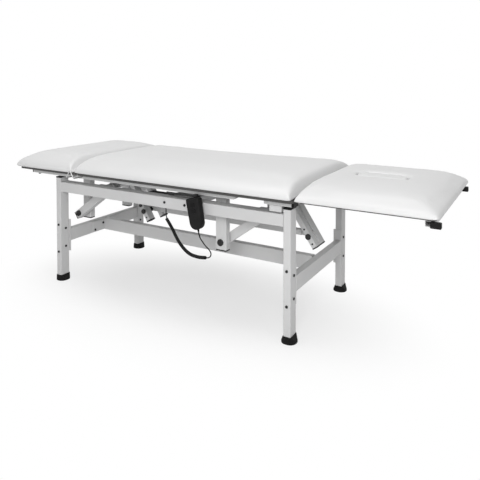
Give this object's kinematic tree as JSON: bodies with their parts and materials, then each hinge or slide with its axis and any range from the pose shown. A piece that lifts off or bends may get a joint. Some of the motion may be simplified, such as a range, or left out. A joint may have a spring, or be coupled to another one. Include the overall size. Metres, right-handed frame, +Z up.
{
  "type": "physiotherapy table",
  "caption": "Three-section padded therapy table on a welded base, raised by an electric actuator through two coupled cranks, with a face hole, folding end sections and a corded handset.",
  "frame": {"origin": "on the floor under the middle of the table's overall box", "axes": "+X towards the head section with the face hole, +Y across towards the back side, +Z up"},
  "size_m": [2.006, 0.718, 0.612],
  "materials": {
    "white_paint": "satin powder coat",
    "black_plastic": "matte",
    "black_rubber": "matte",
    "steel": "zinc plated",
    "dark_steel": "black oxide",
    "bronze": "machined",
    "grey_motor": "matte",
    "upholstery": "smooth vinyl on foam",
    "plywood": "dark stained edge"
  },
  "bodies": {
    "base": {"legs_front": "white_paint", "legs_back": "white_paint", "leg_caps": "black_plastic", "rubber_boots": "black_rubber", "side_rail_front": "white_paint", "side_rail_back": "white_paint", "low_cross_tube_left": "white_paint", "low_cross_tube_right": "white_paint", "spine_tube": "white_paint", "end_plates": "white_paint", "spine_flanges": "white_paint", "frame_bolts": "dark_steel", "bearing_blocks": "white_paint", "bearing_bushes": "bronze", "actuator_member": "white_paint", "control_box": "black_plastic", "control_gland": "black_plastic", "handset_hanger": "dark_steel", "handset": "black_plastic", "handset_relief": "black_rubber", "handset_cable": "black_rubber", "cable_hose": "black_plastic"},
    "button_up": {"button_up": "black_rubber"},
    "button_down": {"button_down": "black_rubber"},
    "crank_left": {"crank_shaft_left": "white_paint", "lifting_arms_left": "white_paint", "fork_levers": "white_paint", "crank_caps_left": "black_plastic", "crank_pins_left": "dark_steel"},
    "crank_right": {"crank_shaft_right": "white_paint", "lifting_arms_right": "white_paint", "pair_levers": "white_paint", "crank_caps_right": "black_plastic", "crank_pins_right": "dark_steel"},
    "tie_bar": {"tie_bar": "white_paint"},
    "actuator_tube": {"actuator_tube": "grey_motor"},
    "actuator_rod": {"actuator_rod": "steel"},
    "top_frame": {"frame_side_tubes": "white_paint", "frame_cross_tubes": "white_paint", "frame_stub_tubes": "white_paint", "frame_caps": "black_plastic", "hanging_posts": "white_paint", "strap_loops": "steel", "section_hinges": "steel", "quadrant_clamps": "steel", "middle_board": "plywood", "middle_cushion": "upholstery"},
    "leg_section": {"leg_board": "plywood", "leg_cushion": "upholstery", "leg_fittings": "steel"},
    "leg_release": {"leg_release_lever": "dark_steel"},
    "head_section": {"head_board": "plywood", "head_cushion": "upholstery", "head_tubes": "white_paint", "head_caps": "black_plastic", "head_fittings": "steel"},
    "head_release": {"head_release_lever": "dark_steel"},
    "face_plug": {"face_plug": "upholstery"}
  },
  "joints": [
    {"name": "height_crank_left", "type": "hinge", "parent": "base", "child": "crank_left", "pos_m": [-0.499, 0, 0.462], "axis": [0, 1, 0], "range_deg": [0, 75]},
    {"name": "height_crank_right", "type": "hinge", "parent": "base", "child": "crank_right", "pos_m": [0.352, 0, 0.462], "axis": [0, 1, 0], "range_deg": [0, 75]},
    {"name": "top_on_posts", "type": "hinge", "parent": "crank_left", "child": "top_frame", "pos_m": [-0.71095, 0, 0.3097], "axis": [0, 1, 0], "range_deg": [-75, 0]},
    {"name": "tie_bar_pivot", "type": "hinge", "parent": "crank_left", "child": "tie_bar", "pos_m": [-0.41061, 0, 0.32743], "axis": [0, 1, 0], "range_deg": [-75, 0]},
    {"name": "actuator_pivot", "type": "hinge", "parent": "base", "child": "actuator_tube", "pos_m": [-0.061, 0.019, 0.45], "axis": [0, 1, 0], "range_deg": [0, 5.68]},
    {"name": "actuator_stroke", "type": "slide", "parent": "actuator_tube", "child": "actuator_rod", "axis": [-0.9682, 0, -0.2501], "range_m": [0, 0.155]},
    {"name": "leg_section_tilt", "type": "hinge", "parent": "top_frame", "child": "leg_section", "pos_m": [-0.596, 0, 0.535], "axis": [0, 1, 0], "range_deg": [0, 25]},
    {"name": "head_section_tilt", "type": "hinge", "parent": "top_frame", "child": "head_section", "pos_m": [0.504, 0, 0.535], "axis": [0, -1, 0], "range_deg": [-40, 25]},
    {"name": "leg_release_pull", "type": "hinge", "parent": "leg_section", "child": "leg_release", "pos_m": [-0.926, 0, 0.519], "axis": [0, 1, 0], "range_deg": [-12, 0], "stiffness_Nm_per_rad": 0.6},
    {"name": "head_release_pull", "type": "hinge", "parent": "head_section", "child": "head_release", "pos_m": [0.764, 0.262, 0.519], "axis": [1, 0, 0], "range_deg": [-12, 0], "stiffness_Nm_per_rad": 0.6},
    {"name": "face_plug_lift", "type": "slide", "parent": "head_section", "child": "face_plug", "axis": [0, 0, 1], "range_m": [0, 0.08]},
    {"name": "button_up_press", "type": "slide", "parent": "base", "child": "button_up", "axis": [0, 1, 0], "range_m": [0, 0.001], "stiffness_N_per_m": 900},
    {"name": "button_down_press", "type": "slide", "parent": "base", "child": "button_down", "axis": [0, 1, 0], "range_m": [0, 0.001], "stiffness_N_per_m": 900}
  ],
  "couplings": [
    {"joint": "height_crank_right", "follows": "height_crank_left", "ratio": 1},
    {"joint": "top_on_posts", "follows": "height_crank_left", "ratio": -1},
    {"joint": "tie_bar_pivot", "follows": "height_crank_left", "ratio": -1},
    {"joint": "actuator_pivot", "follows": "height_crank_left", "ratio": 0.07209},
    {"joint": "actuator_stroke", "follows": "height_crank_left", "m_per_rad": 0.11458}
  ]
}
